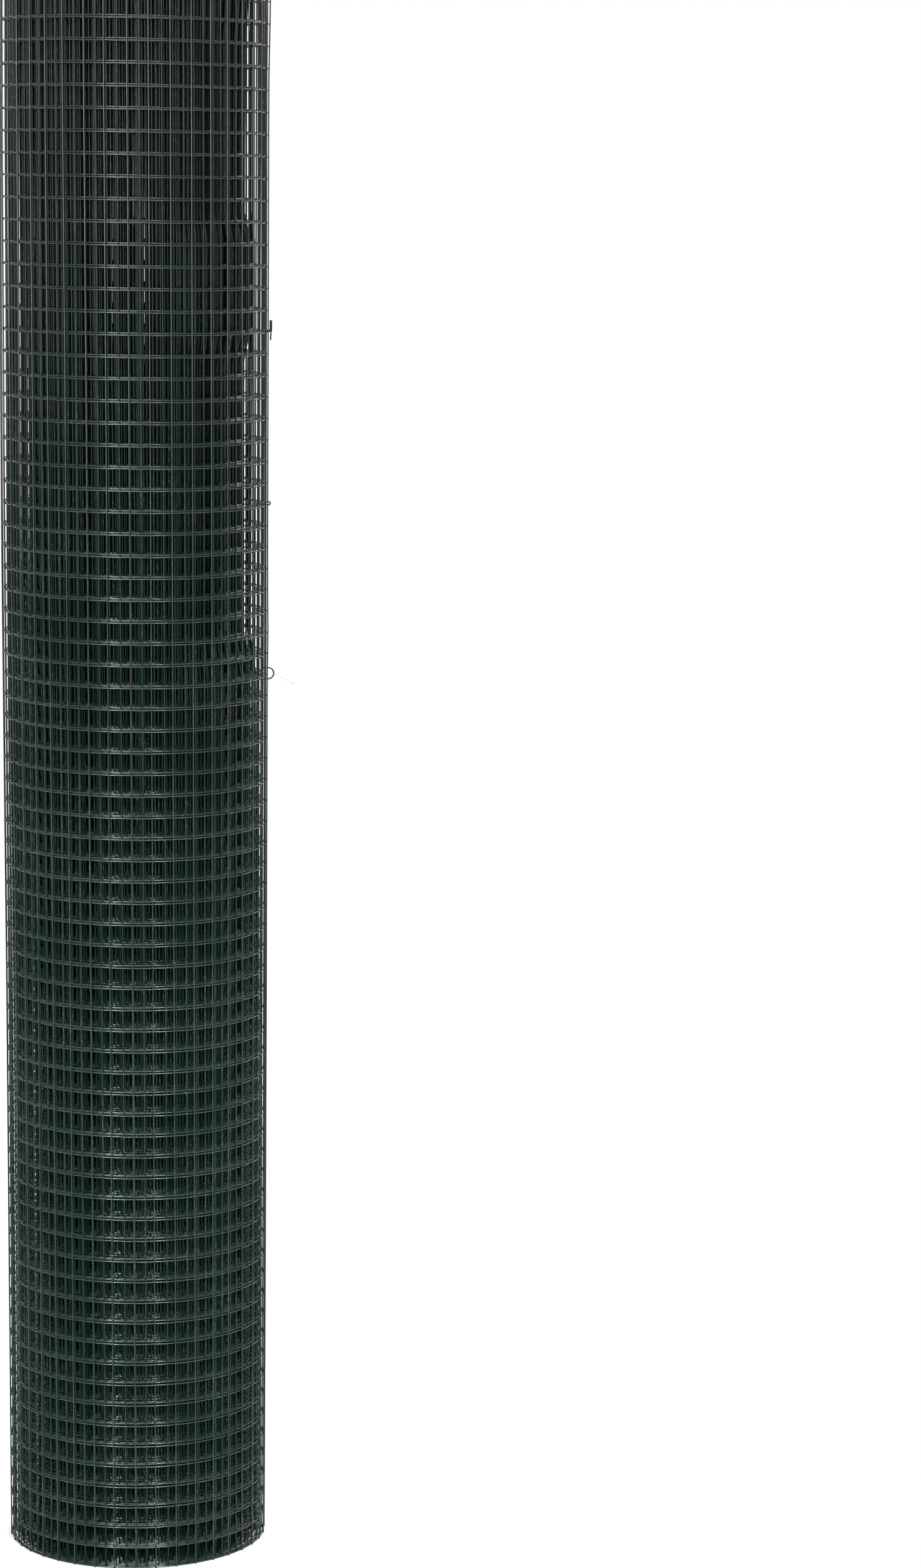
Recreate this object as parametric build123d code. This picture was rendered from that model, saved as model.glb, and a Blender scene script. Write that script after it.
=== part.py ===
from build123d import *
import math
import os

# A roll of welded wire mesh standing on its end, sizes in millimetres.
# The bore axis is Z, the roll stands on z = 0, and the free edge of the outer turn is at +X.

# Mesh sheet
mesh_pitch = 12.7            # centre to centre of the wires, both ways
cells_high = 79              # cells between the two end wires
wire_diameter = 0.9          # over the plastic coat
turn_pitch = 1.7             # what one turn of the sheet adds to the radius

# Roll
outer_diameter = 157.0       # over the outer turn
bore_diameter = 54.0         # inside the inner turn
turn_groove_depth = 3.0      # how far the gaps between the turns go in from each end
crest_drop = 0.1             # how far the inner turns' end wires stop short of the outer turn's

# Tie wires that hold the free edge down
tie_wire_diameter = 0.9      # over the plastic coat
tie_core_diameter = 0.4      # bare core at the loose tail
tie_seat_gap = 0.2           # from each tie to the outer turn
tie_edge_distance = 1.4      # from each tie to the free edge, along the turn
tie_first_row = 42           # cross wire that carries the lowest tie
tie_row_step = 8             # cross wires from one tie to the next
open_loop_radius = 3.4       # lower tie, left as an open loop
pulled_loop_radius = 0.9     # middle tie, pulled tight
knot_length = 6.0            # upper tie, two strands twisted together
knot_tail_length = 5.4       # its single strand below the knot
loose_tail_length = 13.6     # bare core that stands off the lower tie
loose_tail_drop = 28.0       # degrees below level
tie_side_count = 8           # flats round the wire of a loop

cut_overrun = 1.0

roll_height = cells_high * mesh_pitch + wire_diameter
outer_radius = outer_diameter / 2
bore_radius = bore_diameter / 2
tie_wire_radius = tie_wire_diameter / 2
turn_count = int((outer_radius - bore_radius) / turn_pitch)
half_turn_drop = turn_pitch / 2
centre_offset = turn_pitch / 4


def half_turn_axis(front):
    """The spiral is drawn in half turns about two centres, one for its front half and one for its back."""
    if front:
        return Axis((centre_offset, 0, 0), (0, 0, -1))
    return Axis((-centre_offset, 0, 0), (0, 0, 1))


def roll_outline():
    """The outer turn: two half circles and the step down at the free edge."""
    front = CenterArc((centre_offset, 0), outer_radius, 0, -180)
    back = CenterArc((-centre_offset, 0), outer_radius - half_turn_drop, 180, -180)
    return make_face([front, back, Line(back @ 1, front @ 0)])


def turn_gaps(front):
    """Half a turn of the gaps between the turns at the upper end, down to the crest of each end wire."""
    axis = half_turn_axis(front)
    centre_x = axis.position.X
    outer_face = centre_x + outer_radius - (0 if front else half_turn_drop)
    end_wire = outer_face - wire_diameter / 2
    top = roll_height + cut_overrun
    floor = roll_height - turn_groove_depth
    crest = roll_height - crest_drop
    gap_count = turn_count - (1 if front else 2)
    points = [(outer_face - wire_diameter, top), (outer_face - wire_diameter, roll_height)]
    for turn in range(gap_count):
        points.append((end_wire - turn * turn_pitch - half_turn_drop, floor))
        points.append((end_wire - (turn + 1) * turn_pitch, crest))
    points.append((points[-1][0], top))
    section = make_face(Polyline([(x, 0, z) for x, z in points], close=True))
    return revolve(section, axis=axis, revolution_arc=180)


def mesh_roll():
    bore = Pos(0, 0, -cut_overrun) * extrude(Circle(bore_radius), amount=roll_height + 2 * cut_overrun)
    roll = extrude(roll_outline(), amount=roll_height) - bore
    for front in (True, False):
        upper_gaps = turn_gaps(front)
        roll -= upper_gaps
        roll -= mirror(upper_gaps, about=Plane.XY.offset(roll_height / 2))
    return roll


def tie_plane(index):
    """Plane on the outer turn beside its free edge: X runs up the roll and Y straight out of it."""
    angle = tie_edge_distance / outer_radius
    seat_radius = outer_radius + tie_seat_gap
    x = centre_offset + seat_radius * math.cos(angle)
    y = -seat_radius * math.sin(angle)
    z = (tie_first_row + index * tie_row_step) * mesh_pitch + wire_diameter / 2
    return Plane(origin=(x, y, z), x_dir=(0, 0, 1), z_dir=(math.sin(angle), math.cos(angle), 0))


def wire_loop(radius):
    """Half ring of wire with both ends on the roll."""
    section = Plane.XZ * Pos(radius, 0) * RegularPolygon(tie_wire_radius, tie_side_count)
    return revolve(section, axis=Axis.Z, revolution_arc=180)


def rod(start, direction, length, radius):
    """Round wire from a point along a direction."""
    return Plane(origin=start, z_dir=direction) * extrude(Circle(radius), amount=length)


def open_tie():
    """Lower tie: an open loop with a loose tail of bare core."""
    drop = math.radians(loose_tail_drop)
    tail = rod((0, open_loop_radius, 0), (-math.sin(drop), math.cos(drop), 0),
               loose_tail_length, tie_core_diameter / 2)
    return wire_loop(open_loop_radius) + tail


def knotted_tie():
    """Upper tie: a twisted knot on a leg, bent flat along the edge, with one strand left below it."""
    stand_off = tie_wire_diameter
    leg = rod((0, 0, 0), (0, 1, 0), stand_off, tie_wire_radius)
    knot = rod((0, stand_off, 0), (1, 0, 0), knot_length, tie_wire_diameter)
    strand = rod((0, stand_off, 0), (-1, 0, 0), knot_tail_length, tie_wire_radius)
    return leg + knot + strand


nodes = {
    "mesh_roll": mesh_roll(),
    "tie_wire_lower": tie_plane(0) * open_tie(),
    "tie_wire_middle": tie_plane(1) * wire_loop(pulled_loop_radius),
    "tie_wire_upper": tie_plane(2) * knotted_tie(),
}
os.makedirs("parts", exist_ok=True)
for name, solid in nodes.items():
    export_step(solid, f"parts/{name}.step")
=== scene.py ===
import math

import bpy
import numpy as np
from mathutils import Matrix, Vector


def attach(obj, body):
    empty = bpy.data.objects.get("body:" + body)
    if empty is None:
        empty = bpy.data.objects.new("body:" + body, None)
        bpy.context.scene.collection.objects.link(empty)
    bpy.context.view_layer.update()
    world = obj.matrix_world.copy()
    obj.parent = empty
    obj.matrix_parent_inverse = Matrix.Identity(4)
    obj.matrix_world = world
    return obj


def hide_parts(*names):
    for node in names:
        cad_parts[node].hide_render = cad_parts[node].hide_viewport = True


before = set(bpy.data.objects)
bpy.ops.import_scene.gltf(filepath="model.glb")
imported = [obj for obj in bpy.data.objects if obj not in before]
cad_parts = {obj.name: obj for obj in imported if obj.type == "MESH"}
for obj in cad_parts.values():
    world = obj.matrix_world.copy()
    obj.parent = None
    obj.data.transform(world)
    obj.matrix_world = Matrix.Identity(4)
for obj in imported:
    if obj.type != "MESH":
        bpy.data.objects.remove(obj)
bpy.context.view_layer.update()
print("stage: frame loaded, nodes", sorted(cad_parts))

# Shader helper


class Shade:
    def __init__(self, tree, socket=None):
        self.tree = tree
        self.socket = socket

    def feed(self, target, value):
        if isinstance(value, Shade):
            self.tree.links.new(value.socket, target)
        else:
            target.default_value = value

    def node(self, kind, settings, values, output=0):
        made = self.tree.nodes.new(kind)
        for key, value in settings.items():
            setattr(made, key, value)
        for key, value in values.items():
            self.feed(made.inputs[key], value)
        return Shade(self.tree, made.outputs[output])

    def sibling(self, output):  # another output of the same node
        return Shade(self.tree, self.socket.node.outputs[output])

    def maths(self, operation, first, second):
        return self.node("ShaderNodeMath", {"operation": operation}, {0: first, 1: second})

    def ramp(self, low, high):
        values = {"Value": self, "From Min": low, "From Max": high}
        return self.node("ShaderNodeMapRange", {"interpolation_type": "SMOOTHSTEP"}, values)

    def mix(self, first, second):
        values = {0: self, 6: first, 7: second}  # the factor and the two colours
        return self.node("ShaderNodeMix", {"data_type": "RGBA"}, values, 2)

    def __add__(self, other):
        return self.maths("ADD", self, other)

    def __radd__(self, other):
        return self.maths("ADD", other, self)

    def __sub__(self, other):
        return self.maths("SUBTRACT", self, other)

    def __rsub__(self, other):
        return self.maths("SUBTRACT", other, self)

    def __mul__(self, other):
        return self.maths("MULTIPLY", self, other)

    def __rmul__(self, other):
        return self.maths("MULTIPLY", other, self)


def newMaterial(name):
    material = bpy.data.materials.new(name)
    material.use_nodes = True
    shader = material.node_tree.nodes["Principled BSDF"]
    return material, shader, Shade(material.node_tree)


# Plastic coat of the mesh and of the tie wires

coat = {
    "paintedShadeInside": (0.0045, 0.018, 0.014, 1.0),  # painted shade: turns inside the roll darker
    "shade": (0.0065, 0.0195, 0.0155, 1.0),  # dark green
    "fresh": (0.0115, 0.0265, 0.0215, 1.0),
    "paintedSheen": (0.034, 0.041, 0.039, 1.0),  # painted sheen: lighter and greyer at the upper end
    "dust": (0.120, 0.125, 0.115, 1.0),
    "depth": (0.070, 0.078),  # painted shade fades out over this, from the inner turns to the outer one, metres
    "sheenHeight": (0.82, 0.98),  # painted sheen rises over these heights, metres
    "sheenShare": 0.65,
    "patches": {"Scale": 22.0, "Detail": 3.0},
    "patchRange": (0.35, 0.65),  # from shade to fresh
    "grain": {"Scale": 420.0, "Detail": 2.0},
    "dustGrain": (0.52, 0.74),  # dust lies where the grain is high
    "dustPatch": (0.4, 0.6),  # and only in the fresher patches
    "roughSpan": 0.14,
}
finishes = {
    "ring_coat": {"dustAmount": 0.35, "shine": 0.56, "roughLow": 0.15},
    "inner_ring_coat": {"dustAmount": 0.35, "shine": 0.75, "roughLow": 0.22},
    "upright_coat": {"dustAmount": 0.35, "shine": 0.46, "roughLow": 0.12},
    "inner_upright_coat": {"dustAmount": 0.35, "shine": 0.18, "roughLow": 0.12},
    "tie_coat": {"dustAmount": 0.20, "shine": 0.50, "roughLow": 0.12},
}


def coatMaterial(name, dustAmount, shine, roughLow):
    material, shader, start = newMaterial(name)
    place = start.node("ShaderNodeTexCoord", {}, {}, "Object")
    patches = start.node("ShaderNodeTexNoise", {}, {"Vector": place, **coat["patches"]})
    grain = start.node("ShaderNodeTexNoise", {}, {"Vector": place, **coat["grain"]})
    height = start.node("ShaderNodeSeparateXYZ", {}, {"Vector": place}, "Z")
    green = patches.ramp(*coat["patchRange"]).mix(coat["shade"], coat["fresh"])
    level = {0: place, 1: (1.0, 1.0, 0.0)}
    flat = start.node("ShaderNodeVectorMath", {"operation": "MULTIPLY"}, level)
    outward = start.node("ShaderNodeVectorMath", {"operation": "LENGTH"}, {0: flat}, "Value")
    # painted shade: the inner turns darker than the outer one
    toneWithShade = outward.ramp(*coat["depth"]).mix(coat["paintedShadeInside"], green)
    # painted sheen: lighter and greyer towards the upper end
    toneWithPaintedLight = (height.ramp(*coat["sheenHeight"]) * coat["sheenShare"]).mix(toneWithShade, coat["paintedSheen"])
    specks = grain.ramp(*coat["dustGrain"]) * patches.ramp(*coat["dustPatch"])
    # real dust specks laid over the painted shade and painted sheen
    dustAndPaintedLight = (specks * dustAmount).mix(toneWithPaintedLight, coat["dust"])
    start.feed(shader.inputs["Base Color"], dustAndPaintedLight)
    start.feed(shader.inputs["Roughness"], roughLow + coat["roughSpan"] * grain)
    shader.inputs["Specular IOR Level"].default_value = shine
    return material


coats = {name: coatMaterial(name, **finish) for name, finish in finishes.items()}

# Bare core of the loose tail

core = {
    "dull": (0.42, 0.43, 0.42, 1.0),
    "bright": (0.60, 0.60, 0.58, 1.0),
    "grain": {"Scale": 900.0, "Detail": 2.0},
    "grainRange": (0.4, 0.65),  # from dull to bright
    "roughLow": 0.3,
    "roughSpan": 0.25,
}


def bareMaterial(name):
    material, shader, start = newMaterial(name)
    place = start.node("ShaderNodeTexCoord", {}, {}, "Object")
    grain = start.node("ShaderNodeTexNoise", {}, {"Vector": place, **core["grain"]})
    zinc = grain.ramp(*core["grainRange"]).mix(core["dull"], core["bright"])
    start.feed(shader.inputs["Base Color"], zinc)
    start.feed(shader.inputs["Roughness"], core["roughLow"] + core["roughSpan"] * grain)
    shader.inputs["Metallic"].default_value = 1.0
    return material


tieCore = bareMaterial("tie_core")
print("stage: materials made")

# Wires as closed tubes, sizes in millimetres

millimetre = 0.001
wireBand = {  # each wire's place in the map, as shares of its band
    "sideMargin": 0.06,
    "endMargin": 0.03,
    "capCentre": 0.013,
    "capWidth": 0.01,
    "capHeight": 0.4,
}


def wireMap(count, steps, sides, columns):
    rows = -(-count // columns)  # wires in each column of the map
    tube = np.arange(count)
    left = (tube // rows / columns)[:, None, None, None]
    low = (tube % rows / rows)[:, None, None, None]
    near, ahead = wireBand["sideMargin"], 1 - wireBand["sideMargin"]
    step = np.arange(steps - 1)[None, :, None, None] + np.array([0, 0, 1, 1])
    side = np.arange(sides)[None, None, :, None] + np.array([near, ahead, ahead, near])
    length = 1 - 2 * wireBand["endMargin"]
    u = left + (wireBand["endMargin"] + length * step / (steps - 1)) / columns
    v = low + side / sides / rows
    bands = np.stack(np.broadcast_arrays(u, v), -1).reshape(-1, 2)
    spin = np.arange(sides) * 2 * math.pi / sides
    caps = []
    for centre, order in ((wireBand["capCentre"], -1), (1 - wireBand["capCentre"], 1)):
        wide = wireBand["capWidth"] * np.cos(spin)[None, ::order]
        high = wireBand["capHeight"] * np.sin(spin)[None, ::order]
        u = left[:, :, 0, 0] + (centre + wide) / columns
        v = low[:, :, 0, 0] + (0.5 + high) / rows
        caps.append(np.stack((u, v), -1).reshape(-1, 2))
    return np.concatenate((bands, *caps))


def wirePiece(name, paths, radius, sides, reference, material, columns=1):
    count, steps = paths.shape[:2]
    along = np.gradient(paths, axis=1)
    along /= np.linalg.norm(along, axis=2, keepdims=True)
    across = np.cross(reference, along)
    across /= np.linalg.norm(across, axis=2, keepdims=True)
    other = np.cross(along, across)
    spin = np.arange(sides) * 2 * math.pi / sides
    ring = across[:, :, None] * np.cos(spin)[:, None] + other[:, :, None] * np.sin(spin)[:, None]
    points = (paths[:, :, None] + radius * ring) * millimetre
    tube = np.arange(count)[:, None, None]
    step = np.arange(steps - 1)[None, :, None]
    side = np.arange(sides)[None, None, :]
    first = (tube * steps + step) * sides
    following = (side + 1) % sides
    corners = (first + side, first + following, first + sides + following, first + sides + side)
    quads = np.stack(corners, -1).reshape(-1)
    opening = np.arange(count)[:, None] * steps * sides + np.arange(sides)[None, ::-1]
    closing = (np.arange(count)[:, None] * steps + steps - 1) * sides + np.arange(sides)[None, :]
    loops = np.concatenate((quads, opening.reshape(-1), closing.reshape(-1)))
    quadCount = len(quads) // 4
    sizes = np.concatenate((np.full(quadCount, 4), np.full(2 * count, sides)))
    starts = np.concatenate(([0], np.cumsum(sizes)[:-1]))
    mesh = bpy.data.meshes.new(name)
    mesh.vertices.add(count * steps * sides)
    mesh.vertices.foreach_set("co", points.astype(np.float32).ravel())
    mesh.loops.add(len(loops))
    mesh.loops.foreach_set("vertex_index", loops.astype(np.int32))
    mesh.polygons.add(len(sizes))
    mesh.polygons.foreach_set("loop_start", starts.astype(np.int32))
    mesh.update(calc_edges=True)
    mesh.polygons.foreach_set("use_smooth", np.arange(len(sizes)) < quadCount)
    bands = wireMap(count, steps, sides, columns)
    mesh.uv_layers.new(name="OFBake").data.foreach_set("uv", bands.astype(np.float32).ravel())
    mesh.materials.append(material)
    piece = bpy.data.objects.new(name, mesh)
    bpy.context.scene.collection.objects.link(piece)
    triangles = 2 * quadCount + 2 * count * (sides - 2)
    print("piece", name, "triangles", triangles)
    return piece


def keepPiece(piece, node):
    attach(piece, "root")
    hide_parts(node)


# Roll of mesh: a sheet wound inwards from its free edge at the right

roll = {
    "wire": 0.9,  # over the coat
    "pitch": 12.7,  # both ways
    "rows": 80,
    "uprights": 788,
    "startRadius": 78.925,  # outer face at the free edge
    "turnPitch": 1.7,
    "weldSink": 0.15,  # how far the crossing wires are pressed together
    "edgeAngle": 0.9,  # degrees, at the middle height of the ties
    "edgeHeight": 635.0,
    "lean": 3.1,  # degrees over the lean height, the upper end further round
    "leanHeight": 1000.0,
    "stub": 2.2,  # wire ends past the outermost upright
}
uneven = {
    "seed": 17,
    "spacing": 0.22,  # of the uprights along the sheet
    "sway": 0.05,  # of each upright
    "jitter": 0.06,  # of the rows, point by point
    "rowWaves": ((143.0, 0.10), (391.0, 0.32), (1210.0, 0.42)),  # length along the sheet and size
    "rowSeed": 21,
    "calmEnd": 40.0,  # the rows lie level towards the ends
    "turnWaves": ((2.3, 0.10), (3.9, 0.16), (7.7, 0.3)),  # length in turns and size
    "turnSeed": 1,
    "settleTurns": 2,  # the outer turn keeps its size
}
outOfRound = {
    "oval": 0.35,
    "ovalStart": 0.9,
    "ovalRise": 310.0,
    "ovalShift": 0.6,
    "lobes": 0.2,
    "lobeStart": 2.1,
    "lobeRise": 420.0,
    "bellyHeights": [0, 350, 620, 850, 1010],
    "bellySizes": [0, 0.3, 1.3, 1.1, 0.3],  # fuller on the left
}
loose = {
    "heights": [0, 534, 560, 720, 737, 790, 806, 900, 985, 1010],
    "depths": [0, 0, 6.0, 6.0, 2.0, 2.0, 5.6, 5.2, 0, 0],  # the inner turns stand back here
    "halfWidth": 80.0,  # degrees either side of the free edge
    "turns": [3.5, 4.3, 30.0],
    "shares": [0.0, 1.0, 0.0],  # of the depth, turn by turn
}
slip = {  # sets how far each turn's uprights stand beside the last turn's
    "turns": [0, 1, 2, 3, 4, 30],
    "sizes": [0, -2.7, -2.9, 0, 3.4, 3.4],
    "freeTurn": 4,  # deeper turns wander as well
    "freeSpan": 2,
    "waves": ((1.7, 1.2), (2.9, 1.6), (5.3, 2.4)),  # length in turns and size
    "seed": 460,
}
flare = {
    "heights": [0, 536, 556, 590, 880, 935, 1010],
    "sizes": [0, 0, 0.4, 0, 0, 1.0, 1.0],  # the free edge lifts off
    "reach": 22.0,
}
uprights = {
    "uprights_outer": {
        "span": (0, 40),  # the first turn
        "steps": 34,
        "sides": 6,
        "thicken": 1.0,
        "columns": 1,
        "coat": "upright_coat",
    },
    "uprights_next": {
        "span": (40, 113),  # two turns more
        "steps": 34,
        "sides": 6,
        "thicken": 1.0,
        "columns": 1,
        "coat": "inner_upright_coat",
    },
    "uprights_inner": {
        "span": (113, 788),
        "steps": 15,
        "sides": 4,
        "thicken": 1.1,  # so that four sides look as thick as six
        "columns": 4,
        "coat": "inner_upright_coat",
    },
}
rings = {
    "rings_outer": {
        "rows": {"lower": (0, 40), "upper": (40, 80)},
        "cells": (0, 113),
        "parts": 2,  # steps in each cell
        "sides": 6,
        "thicken": 1.0,
        "columns": 1,
        "coat": "ring_coat",
    },
    "rings_end": {
        "rows": {"lower": (0, 2), "upper": (78, 80)},
        "cells": (113, 787),
        "parts": 3,
        "sides": 6,
        "thicken": 1.0,
        "columns": 1,
        "coat": "inner_ring_coat",
    },
    "rings_inner": {
        "rows": {"lower": (2, 27), "middle": (27, 53), "upper": (53, 78)},
        "cells": (113, 787),
        "parts": 1,
        "sides": 4,
        "thicken": 1.1,
        "columns": 1,
        "coat": "inner_ring_coat",
    },
}


def wander(values, waves, seed):
    phases = np.random.default_rng(seed).uniform(0, 2 * math.pi, len(waves))
    total = 0.0 * values
    for (period, size), phase in zip(waves, phases):
        total = total + size * np.sin(2 * math.pi * values / period + phase)
    return total


def spiralAngle(arc):
    start = roll["startRadius"]
    inner = np.sqrt(start * start - roll["turnPitch"] * np.maximum(arc, 0) / math.pi)
    return (start - inner) * 2 * math.pi / roll["turnPitch"] + np.minimum(arc, 0) / start


def rollUp(arc, height, depth):
    angle = spiralAngle(arc)
    turn = angle / (2 * math.pi)
    settle = np.clip(turn / uneven["settleTurns"], 0, 1)
    radius = roll["startRadius"] - roll["turnPitch"] * turn - depth
    radius = radius + settle * wander(turn, uneven["turnWaves"], uneven["turnSeed"])
    oval = outOfRound["oval"] * np.sin(2 * angle + outOfRound["ovalStart"])
    radius = radius + oval * np.sin(height / outOfRound["ovalRise"] + outOfRound["ovalShift"])
    lobeAngle = 3 * angle + outOfRound["lobeStart"] + height / outOfRound["lobeRise"]
    radius = radius + outOfRound["lobes"] * np.sin(lobeAngle)
    belly = np.interp(height, outOfRound["bellyHeights"], outOfRound["bellySizes"])
    radius = radius + belly * np.clip(-np.cos(angle), 0, 1) ** 2
    narrow = math.cos(math.radians(loose["halfWidth"]))
    window = np.clip((np.cos(angle) - narrow) / (1 - narrow), 0, 1)
    window = window * window * (3 - 2 * window) * np.interp(turn, loose["turns"], loose["shares"])
    radius = radius - np.interp(height, loose["heights"], loose["depths"]) * window
    lift = np.interp(height, flare["heights"], flare["sizes"])
    radius = radius + lift * np.exp(-np.maximum(arc, 0) / flare["reach"])
    drift = np.interp(turn, slip["turns"], slip["sizes"])
    free = np.clip((turn - slip["freeTurn"]) / slip["freeSpan"], 0, 1)
    drift = drift + free * wander(turn, slip["waves"], slip["seed"])
    turned = math.radians(roll["edgeAngle"]) + drift / radius
    turned = turned + math.radians(roll["lean"]) * (height - roll["edgeHeight"]) / roll["leanHeight"]
    around = angle + turned
    level = np.broadcast_to(height, radius.shape)
    return np.stack((radius * np.cos(around), -radius * np.sin(around), level), -1)


rng = np.random.default_rng(uneven["seed"])
wireRadius = roll["wire"] / 2
rollHeight = (roll["rows"] - 1) * roll["pitch"] + roll["wire"]
ringDepth = 1.5 * roll["wire"] - roll["weldSink"]  # rings lie inside the uprights
shifts = rng.normal(0, uneven["spacing"], roll["uprights"])
upArcs = np.arange(roll["uprights"]) * roll["pitch"] + shifts
upArcs[0] = 0.0
rowHeights = wireRadius + np.arange(roll["rows"]) * roll["pitch"]
acrossX = np.array([1.0, 0.0, 0.0])
acrossZ = np.array([0.0, 0.0, 1.0])


def uprightPaths(arcs, heights):
    paths = rollUp(arcs[:, None], heights[None, :], wireRadius)
    sway = rng.normal(0, uneven["sway"], (len(arcs), 1, 2))
    sway[arcs == 0] = 0.0  # the free edge keeps to its welds
    paths[:, :, :2] += sway
    return paths


def ringPaths(arcs, heights):
    paths = rollUp(arcs[None, :], heights[:, None], ringDepth)
    wave = wander(arcs, uneven["rowWaves"], uneven["rowSeed"])[None, :]
    fromEnd = np.minimum(heights, rollHeight - heights)
    inside = np.clip(fromEnd / uneven["calmEnd"], 0, 1)[:, None]
    paths[:, :, 2] += inside * (wave + rng.normal(0, uneven["jitter"], paths.shape[:2]))
    return paths


def arcSamples(firstCell, lastCell, parts):
    arcs = np.arange(firstCell * parts, lastCell * parts + 1) * roll["pitch"] / parts
    if firstCell == 0:
        arcs = np.concatenate(([-roll["stub"]], arcs))
    if lastCell == roll["uprights"] - 1:
        arcs = np.concatenate((arcs, [lastCell * roll["pitch"] + roll["stub"]]))
    return arcs


def meshPiece(name, paths, settings, reference):
    radius = wireRadius * settings["thicken"]
    material = coats[settings["coat"]]
    piece = wirePiece(name, paths, radius, settings["sides"], reference, material, settings["columns"])
    keepPiece(piece, "mesh_roll")


for name, settings in uprights.items():
    first, last = settings["span"]
    even = np.linspace(0, rollHeight, settings["steps"])
    heights = np.unique(np.concatenate((even, loose["heights"][1:-1])))
    meshPiece(name, uprightPaths(upArcs[first:last], heights), settings, acrossX)
for name, settings in rings.items():
    arcs = arcSamples(*settings["cells"], settings["parts"])
    for part, (first, last) in settings["rows"].items():
        meshPiece(name + "_" + part, ringPaths(arcs, rowHeights[first:last]), settings, acrossZ)
print("stage: roll made")

# Tie wires on the free edge

ties = {
    "heights": {"lower": 533.85, "middle": 635.45, "upper": 737.05},
    "radius": 79.12,  # outer face of the roll at the ties
    "angle": 1.02,  # degrees round from the right
    "wire": 0.9,
    "reach": 2.6,  # how far the legs go into the roll
    "bendSteps": 19,
    "loopSides": 10,
    "sides": 8,
}
tieAngle = math.radians(ties["angle"])
tieOut = np.array([math.cos(tieAngle), -math.sin(tieAngle), 0.0])
tieSide = np.array([math.sin(tieAngle), math.cos(tieAngle), 0.0])
tieRadius = ties["wire"] / 2


def tiePath(part, up, out, side):
    rise = (ties["heights"][part] + np.asarray(up, float))[:, None] * acrossZ
    away = (ties["radius"] + np.asarray(out, float))[:, None] * tieOut
    return (rise + away + np.asarray(side, float)[:, None] * tieSide)[None]


def tieBow(size):
    reach = ties["reach"]
    bend = np.linspace(-90, 90, ties["bendSteps"]) * math.pi / 180
    up = np.concatenate(([-size, -size], size * np.sin(bend), [size, size]))
    out = np.concatenate(([-reach, -reach / 2], size * np.cos(bend), [-reach / 2, -reach]))
    return up, out, 0 * up


def tiePiece(part, name, route, radius, sides, material):
    path = tiePath(part, *route)
    piece = wirePiece("tie_" + part + "_" + name, path, radius, sides, tieSide, material)
    keepPiece(piece, "tie_wire_" + part)


# Lower tie: an open loop with a thin loose tail

lowerTie = {
    "loop": 3.4,
    "core": 0.4,
    "tail": 13.6,
    "tailSteps": 12,
    "drop": 28.0,  # degrees
    "curl": 0.9,
    "aside": 0.25,  # of the curl
}
bow = tieBow(lowerTie["loop"])
tiePiece("lower", "loop", bow, tieRadius, ties["loopSides"], coats["tie_coat"])
drop = math.radians(lowerTie["drop"])
far = np.linspace(0, lowerTie["tail"], lowerTie["tailSteps"])
curl = lowerTie["curl"] * (far / lowerTie["tail"]) * (1 - far / lowerTie["tail"])
up = -far * math.sin(drop) + curl
out = lowerTie["loop"] + far * math.cos(drop)
tail = (up, out, lowerTie["aside"] * curl)
tiePiece("lower", "tail", tail, lowerTie["core"] / 2, ties["sides"], tieCore)

# Middle tie: a loop pulled tight

middleTie = {"loop": 0.9}
bow = tieBow(middleTie["loop"])
tiePiece("middle", "loop", bow, tieRadius, ties["loopSides"], coats["tie_coat"])

# Upper tie: two strands twisted into a knot, and a short tail

upperTie = {
    "knot": 6.0,
    "twists": 2.5,
    "twistSteps": 46,
    "twistRadius": 0.45,
    "twistOut": 0.9,
    "legUp": 0.4,
    "legSide": 0.6,
    "legOut": -0.3,
    "tailUp": [0.6, 0.0, -1.5, -3.5, -5.4],
    "tailOut": [0.5, 0.9, 0.95, 0.8, 0.7],
}
for strand, hand in ((1, -1), (2, 1)):
    turns = np.linspace(0, upperTie["twists"] * 2 * math.pi, upperTie["twistSteps"])
    spin = turns + (strand - 1) * math.pi
    knot = np.linspace(0.0, upperTie["knot"], upperTie["twistSteps"])
    up = np.concatenate(([hand * upperTie["legUp"]] * 2, knot))
    bulge = upperTie["twistOut"] + upperTie["twistRadius"] * np.cos(spin)
    out = np.concatenate(([-ties["reach"], upperTie["legOut"]], bulge))
    sweep = upperTie["twistRadius"] * np.sin(spin)
    side = np.concatenate(([-hand * upperTie["legSide"]] * 2, sweep))
    route = (up, out, side)
    tiePiece("upper", "strand_" + str(strand), route, tieRadius, ties["sides"], coats["tie_coat"])
tail = (upperTie["tailUp"], upperTie["tailOut"], np.zeros(len(upperTie["tailUp"])))
tiePiece("upper", "tail", tail, tieRadius, ties["sides"], coats["tie_coat"])
print("stage: ties made")

# Camera

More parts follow.
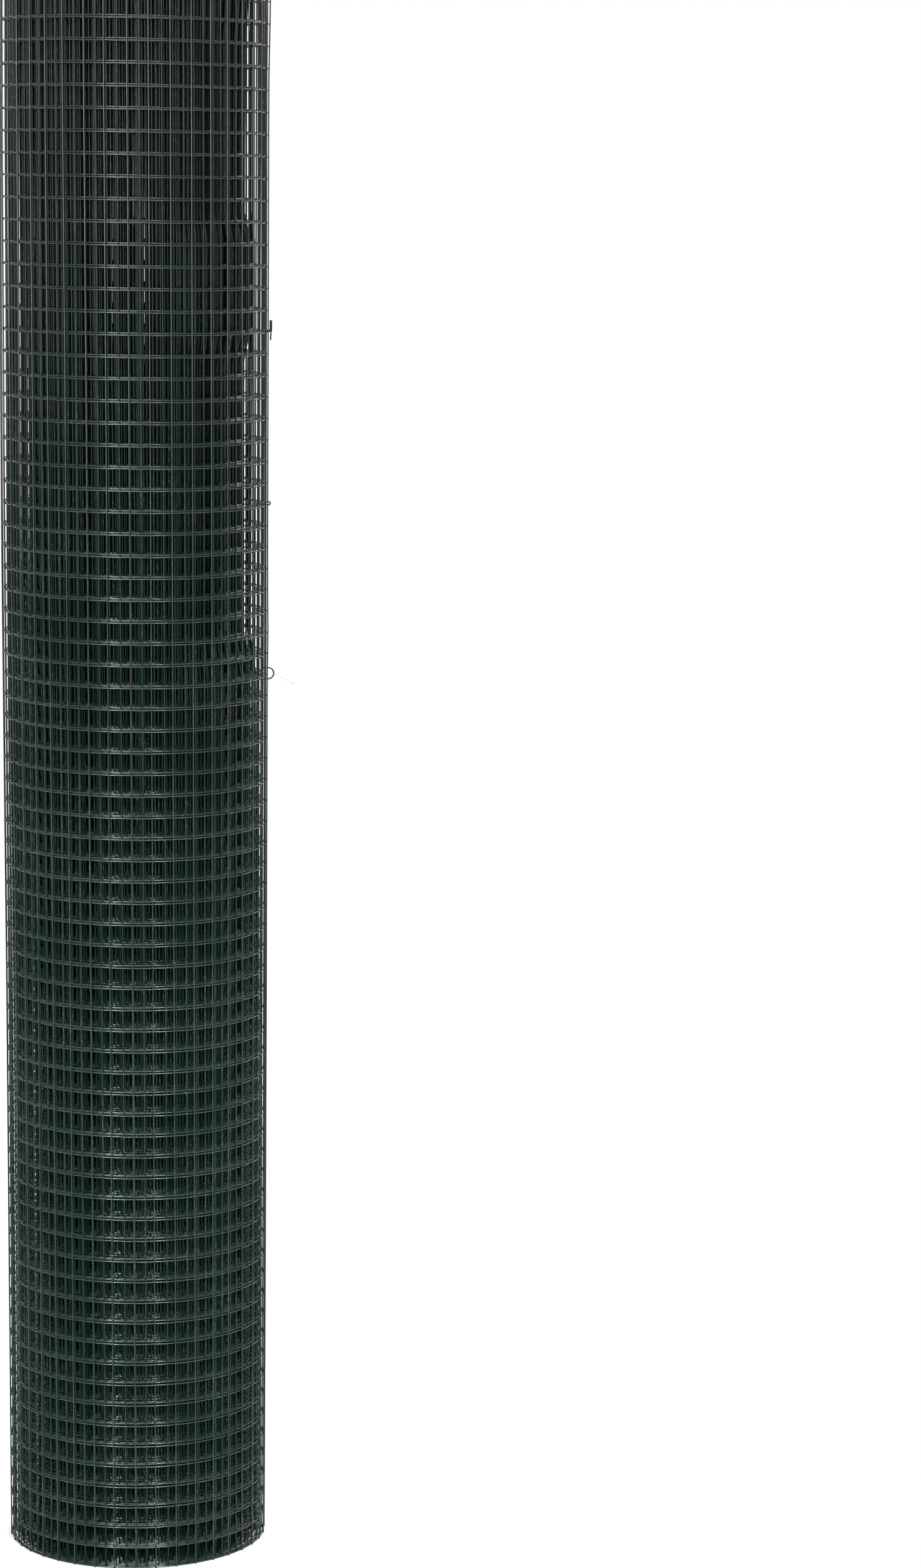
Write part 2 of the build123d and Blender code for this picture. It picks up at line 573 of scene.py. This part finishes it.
lens = {
    "focal": 6762.0,  # in pixels of the picture
    "pictureHeight": 2520,
    "sensor": 36.0,
    "distance": 2.513,
    "height": 0.82745,
    "pitch": 10.28,  # degrees down
    "yaw": 4.48,  # degrees to the right
    "roll": 0.70,
    "shift": 0.10,
}
camera = bpy.data.cameras.new("camera")
cameraSpot = bpy.data.objects.new("camera", camera)
bpy.context.scene.collection.objects.link(cameraSpot)
camera.sensor_fit = "AUTO"
camera.sensor_width = lens["sensor"]
camera.lens = lens["sensor"] * lens["focal"] / lens["pictureHeight"]
camera.shift_y = lens["shift"]
pitch, yaw, tilt = (math.radians(lens[key]) for key in ("pitch", "yaw", "roll"))
ahead = Vector((math.sin(yaw) * math.cos(pitch), math.cos(yaw) * math.cos(pitch), -math.sin(pitch)))
level = Vector((math.cos(yaw), -math.sin(yaw), 0.0))
upward = level.cross(ahead)
right = level * math.cos(tilt) + upward * math.sin(tilt)
top = upward * math.cos(tilt) - level * math.sin(tilt)
stand = Matrix((right, top, -ahead)).transposed().to_4x4()
stand.translation = Vector((0.0, -lens["distance"], lens["height"]))
cameraSpot.matrix_world = stand
bpy.context.scene.camera = cameraSpot
bpy.context.scene.view_settings.view_transform = "Standard"
print("stage: camera set")

# White surroundings, giving little light but seen as plain white

white = (1.0, 1.0, 1.0, 1.0)
surroundings = {"light": 0.08}
world = bpy.data.worlds.new("studio")
bpy.context.scene.world = world
world.use_nodes = True
sky = Shade(world.node_tree)
sight = sky.node("ShaderNodeLightPath", {}, {}, "Is Camera Ray")
mirrored = sight.sibling("Is Glossy Ray")
through = sight.sibling("Is Transmission Ray")
seen = 1 - (1 - sight) * (1 - mirrored) * (1 - through)
backdrop = world.node_tree.nodes["Background"]
backdrop.inputs["Color"].default_value = white
strength = surroundings["light"] + (1 - surroundings["light"]) * seen
sky.feed(backdrop.inputs["Strength"], strength)

# Floor

ground = {
    "half": 6.0,  # metres, from the middle to each side
    "colour": (0.86, 0.86, 0.86, 1.0),
    "rough": 0.9,
    "shine": 0.1,
    "glow": 0.88,  # share of plain white that the camera sees near the roll
    "near": (0.07, 0.13),  # metres from the middle, none under the roll
    "far": (0.15, 0.9),  # all white further out
}
half = ground["half"]
floorMesh = bpy.data.meshes.new("floor")
corners = [(-half, -half, 0), (half, -half, 0), (half, half, 0), (-half, half, 0)]
floorMesh.from_pydata(corners, [], [(0, 1, 2, 3)])
floor = bpy.data.objects.new("floor", floorMesh)
bpy.context.scene.collection.objects.link(floor)
floorCoat, base, start = newMaterial("floor_white")
base.inputs["Base Color"].default_value = ground["colour"]
base.inputs["Roughness"].default_value = ground["rough"]
base.inputs["Specular IOR Level"].default_value = ground["shine"]
glow = start.node("ShaderNodeEmission", {}, {"Color": white, "Strength": 1.0})
sight = start.node("ShaderNodeLightPath", {}, {}, "Is Camera Ray")
mirrored = sight.sibling("Is Glossy Ray")
place = start.node("ShaderNodeTexCoord", {}, {}, "Object")
apart = start.node("ShaderNodeVectorMath", {"operation": "LENGTH"}, {0: place}, "Value")
share = ground["glow"] * apart.ramp(*ground["near"])
share = share + (1 - ground["glow"]) * apart.ramp(*ground["far"])
bright = (1 - (1 - sight) * (1 - mirrored)) * share
surface = Shade(start.tree, base.outputs[0])
shown = start.node("ShaderNodeMixShader", {}, {0: bright, 1: surface, 2: glow})
start.feed(start.tree.nodes["Material Output"].inputs["Surface"], shown)
floorMesh.materials.append(floorCoat)

# Lamps: metres and degrees, turned from the front to the right, aimed at a height

lamps = {
    "above": {
        "turn": -5.0,
        "rise": 38.0,
        "distance": 3.6,
        "aim": 0.90,
        "size": (3.0, 1.0),
        "power": 11.0,
        "spread": 56.0,
    },
    "front": {
        "turn": -18.0,
        "rise": 1.0,
        "distance": 2.9,
        "aim": 0.86,
        "size": (2.0, 0.8),
        "power": 4.4,
        "spread": 36.0,
    },
    "back": {
        "turn": 172.0,
        "rise": 34.0,
        "distance": 3.6,
        "aim": 0.55,
        "size": (3.0, 1.2),
        "power": 34.0,
        "spread": 70.0,
    },
    "strip_left": {
        "turn": -21.5,
        "rise": 28.0,
        "distance": 2.6,
        "aim": 0.0,
        "size": (0.24, 0.7),
        "power": 2.6,
        "spread": 36.0,  # kept to the lower half
    },
    "strip_right": {
        "turn": 20.0,
        "rise": 28.0,
        "distance": 2.6,
        "aim": 0.0,
        "size": (0.28, 0.7),
        "power": 2.6,
        "spread": 36.0,
    },
}
for name, settings in lamps.items():
    lamp = bpy.data.lights.new(name, "AREA")
    lamp.shape = "RECTANGLE"
    lamp.size, lamp.size_y = settings["size"]
    lamp.energy = settings["power"]
    lamp.spread = math.radians(settings["spread"])
    spot = bpy.data.objects.new(name, lamp)
    bpy.context.scene.collection.objects.link(spot)
    turn = math.radians(settings["turn"])
    rise = math.radians(settings["rise"])
    toward = Vector((math.sin(turn) * math.cos(rise), -math.cos(turn) * math.cos(rise), math.sin(rise)))
    spot.location = toward * settings["distance"] + Vector((0.0, 0.0, settings["aim"]))
    spot.rotation_euler = (-toward).to_track_quat("-Z", "Y").to_euler()
print("stage: studio set")
